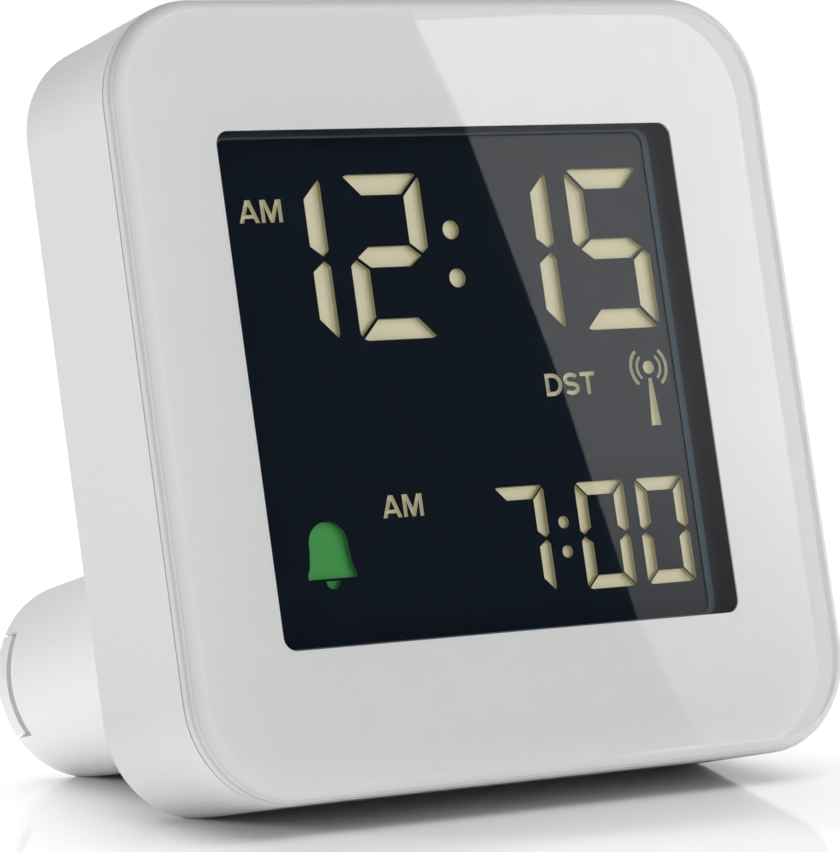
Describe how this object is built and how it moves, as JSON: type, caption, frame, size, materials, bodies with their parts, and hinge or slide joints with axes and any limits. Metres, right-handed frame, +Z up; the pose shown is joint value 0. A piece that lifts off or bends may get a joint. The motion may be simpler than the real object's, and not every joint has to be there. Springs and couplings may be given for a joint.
{
  "type": "radio-controlled alarm clock",
  "caption": "Square white desk alarm clock leaning back on a pill-shaped battery barrel, with an inverse display behind a clear lens, a snooze bar on top and setting keys at the rear.",
  "frame": {"origin": "on the floor, under the middle of the clock's bounding box", "axes": "+Z up, -Y towards the viewer of the face, +X to that viewer's right; the face leans back 14.15 degrees about X"},
  "size_m": [0.075, 0.0483, 0.0759],
  "materials": {
    "lens_acrylic": "clear, glossy",
    "mask_print": "white print under the lens",
    "case_abs": "white, fine satin texture",
    "key_abs": "white, satin",
    "black_abs": "black, satin",
    "lcd_glass": "dark inverse display",
    "reflector_film": "cream, diffusing",
    "guide_acrylic": "clear",
    "led_resin": "yellowish resin",
    "silicone": "matt",
    "board_laminate": "green solder mask",
    "chip_epoxy": "matt black",
    "switch_plastic": "satin",
    "clip_nylon": "natural nylon",
    "screw_steel": "zinc-plated",
    "plated_steel": "nickel-plated",
    "disc_brass": "plain",
    "copper_wire": "enamelled winding wire",
    "ferrite": "dull dark grey",
    "cell_jacket": "printed jacket with bare ends",
    "wire_cover": "soft wire insulation"
  },
  "bodies": {
    "clock_body": {"front_lens": "lens_acrylic", "face_mask": "mask_print", "case_shell": "case_abs", "rear_cover": "case_abs", "case_screws": "screw_steel", "lcd_frame": "black_abs", "lcd_panel": "lcd_glass", "lcd_reflector": "reflector_film", "light_guide": "guide_acrylic", "backlight_leds": "led_resin", "zebra_strip": "silicone", "main_board": "board_laminate", "board_screws": "screw_steel", "clock_chip": "chip_epoxy", "receiver_chip": "chip_epoxy", "quartz_crystal": "plated_steel", "tact_switches": "switch_plastic", "snooze_switch": "switch_plastic", "slide_switch": "switch_plastic", "buzzer_case": "black_abs", "piezo_disc": "disc_brass", "buzzer_leads": "wire_cover", "ferrite_rod": "ferrite", "antenna_coil": "copper_wire", "antenna_clips": "clip_nylon", "antenna_leads": "copper_wire", "battery_cells": "cell_jacket", "battery_springs": "plated_steel", "battery_plates": "plated_steel", "power_leads": "wire_cover"},
    "snooze": {"snooze_bar": "key_abs"},
    "minus_key": {"minus_button": "key_abs"},
    "plus_key": {"plus_button": "key_abs"},
    "wave_key": {"wave_button": "key_abs"},
    "time_key": {"time_button": "key_abs"},
    "alarm_key": {"alarm_button": "key_abs"},
    "alarm_slider": {"alarm_knob": "key_abs", "switch_lever": "black_abs"},
    "door": {"battery_door": "case_abs"}
  },
  "joints": [
    {"name": "snooze_press", "type": "slide", "parent": "clock_body", "child": "snooze", "axis": [0, -0.2445, -0.9697], "range_m": [0, 0.0006], "stiffness_N_per_m": 600, "springref_m": -0.0005},
    {"name": "minus_press", "type": "slide", "parent": "clock_body", "child": "minus_key", "axis": [0, -0.9697, 0.2445], "range_m": [0, 0.0005], "stiffness_N_per_m": 500, "springref_m": -0.0005},
    {"name": "plus_press", "type": "slide", "parent": "clock_body", "child": "plus_key", "axis": [0, -0.9697, 0.2445], "range_m": [0, 0.0005], "stiffness_N_per_m": 500, "springref_m": -0.0005},
    {"name": "wave_press", "type": "slide", "parent": "clock_body", "child": "wave_key", "axis": [0, -0.9697, 0.2445], "range_m": [0, 0.0005], "stiffness_N_per_m": 500, "springref_m": -0.0005},
    {"name": "time_press", "type": "slide", "parent": "clock_body", "child": "time_key", "axis": [0, -0.9697, 0.2445], "range_m": [0, 0.0005], "stiffness_N_per_m": 500, "springref_m": -0.0005},
    {"name": "alarm_press", "type": "slide", "parent": "clock_body", "child": "alarm_key", "axis": [0, -0.9697, 0.2445], "range_m": [0, 0.0005], "stiffness_N_per_m": 500, "springref_m": -0.0005},
    {"name": "alarm_slide", "type": "slide", "parent": "clock_body", "child": "alarm_slider", "axis": [1, 0, 0], "range_m": [0, 0.003]},
    {"name": "door_lift", "type": "slide", "parent": "clock_body", "child": "door", "axis": [0, 0.9697, -0.2445], "range_m": [0, 0.004]}
  ]
}
